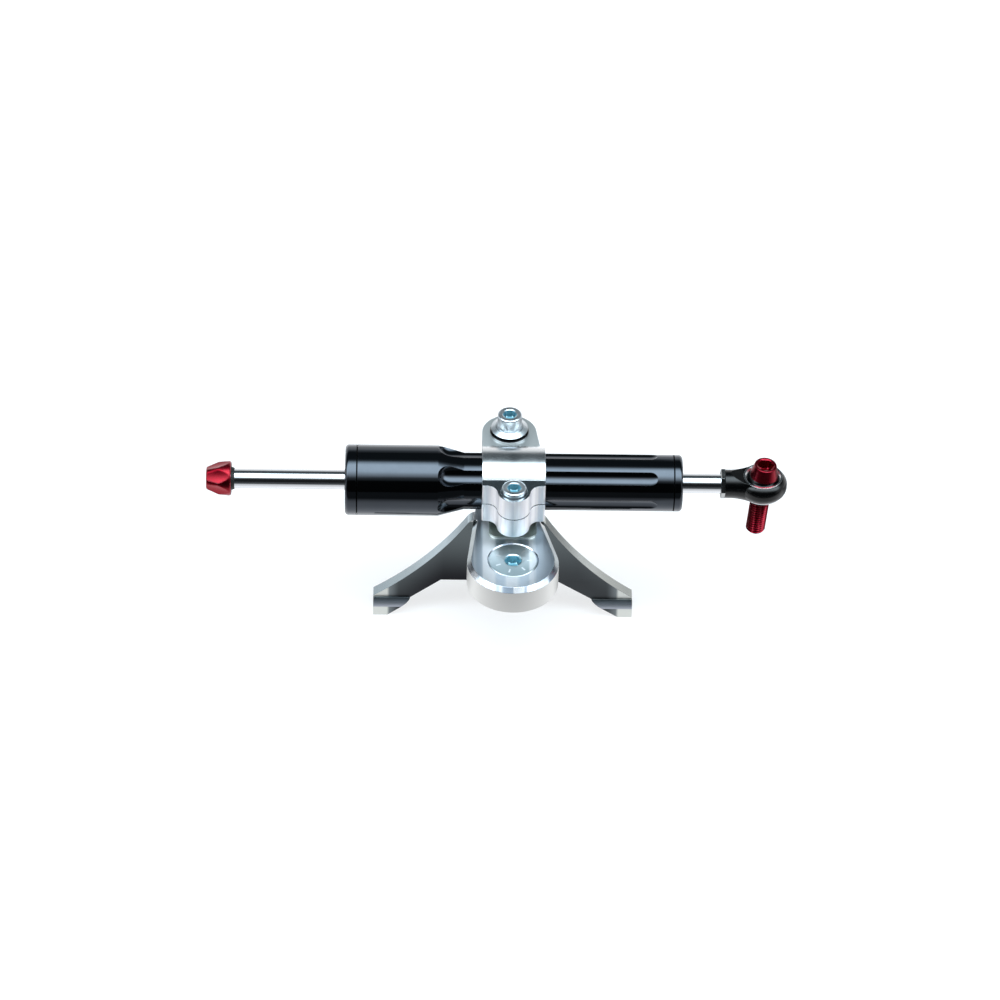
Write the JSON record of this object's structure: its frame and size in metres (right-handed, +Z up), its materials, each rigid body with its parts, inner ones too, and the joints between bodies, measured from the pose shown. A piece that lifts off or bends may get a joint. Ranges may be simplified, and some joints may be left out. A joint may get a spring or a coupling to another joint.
{
  "type": "motorcycle steering damper",
  "caption": "Linear motorcycle steering damper with a fluted gas and oil body, adjuster knob, rod end, swivelling clamp and machined frame bracket.",
  "frame": {"origin": "on the frame screw's axis, at the underside of the bracket's boss", "axes": "+X along the damper towards the rod end, +Y from the frame screw towards the damper and its pivot, +Z up, out of the frame screw's head"},
  "size_m": [0.2378, 0.0803, 0.0856],
  "materials": {
    "machined_aluminium": "machined and polished, bright",
    "zinc_steel": "blue-white zinc plate",
    "bearing_steel": "ground bearing steel",
    "black_anodised": "black anodised, satin gloss",
    "black_coated_steel": "black, satin gloss",
    "hard_chrome": "ground and hard chromed",
    "nickel_steel": "bright plated",
    "red_anodised": "red anodised",
    "black_rubber": "matte",
    "bronze": "turned",
    "inner_aluminium": "turned",
    "slide_band": "filled PTFE",
    "inner_steel": "plain steel"
  },
  "bodies": {
    "frame": {"bracket": "machined_aluminium", "frame_screw": "zinc_steel", "pivot_bolt": "zinc_steel", "pivot_washer": "zinc_steel", "pivot_ball": "bearing_steel"},
    "damper": {"clamp_lower": "machined_aluminium", "clamp_upper": "machined_aluminium", "clamp_screw": "zinc_steel", "pivot_race": "bearing_steel", "damper_body": "black_anodised", "left_end_cap": "black_anodised", "right_end_cap": "black_anodised", "gas_plug": "inner_steel", "inner_sleeve": "inner_aluminium", "guide_bushes": "bronze", "rod_seals": "black_rubber", "rod_wipers": "black_rubber", "cap_o_rings": "black_rubber"},
    "gas_separator": {"gas_piston": "inner_aluminium", "gas_piston_rings": "black_rubber"},
    "slider": {"piston_band": "slide_band"},
    "rod": {"piston_rod": "hard_chrome", "piston": "inner_aluminium", "piston_clips": "inner_steel", "jam_nut": "nickel_steel", "rod_end_housing": "black_coated_steel", "rod_end_race": "bearing_steel", "bump_ring": "black_rubber", "knob_clip": "inner_steel", "detent_ball": "inner_steel", "detent_spring": "inner_steel"},
    "knob": {"adjuster_knob": "red_anodised", "metering_needle": "inner_steel"},
    "end_ball": {"rod_end_ball": "bearing_steel"},
    "end_bolt": {"rod_end_bolt": "red_anodised"}
  },
  "joints": [
    {"name": "clamp_swivel", "type": "hinge", "parent": "frame", "child": "damper", "pos_m": [-0.0016, 0.0504, 0.028], "axis": [0, 0, 1], "range_deg": [-15, 15]},
    {"name": "gas_piston_float", "type": "slide", "parent": "damper", "child": "gas_separator", "axis": [1, 0, 0], "range_m": [-0.0025, 0.0025]},
    {"name": "rod_slide", "type": "slide", "parent": "damper", "child": "slider", "axis": [1, 0, 0], "range_m": [-0.015, 0.0445]},
    {"name": "rod_spin", "type": "hinge", "parent": "slider", "child": "rod", "pos_m": [0.0005, 0.0306, 0.028], "axis": [1, 0, 0], "continuous": true},
    {"name": "knob_turn", "type": "hinge", "parent": "rod", "child": "knob", "pos_m": [-0.121, 0.0306, 0.028], "axis": [1, 0, 0], "range_deg": [-165, 165]},
    {"name": "end_ball_tilt", "type": "hinge", "parent": "rod", "child": "end_ball", "pos_m": [0.1023, 0.0306, 0.028], "axis": [0, 1, 0], "range_deg": [-11.5, 4.5]},
    {"name": "end_bolt_spin", "type": "hinge", "parent": "end_ball", "child": "end_bolt", "pos_m": [0.1023, 0.0306, 0.028], "axis": [0.061, -0.0522, 0.9968], "continuous": true}
  ]
}
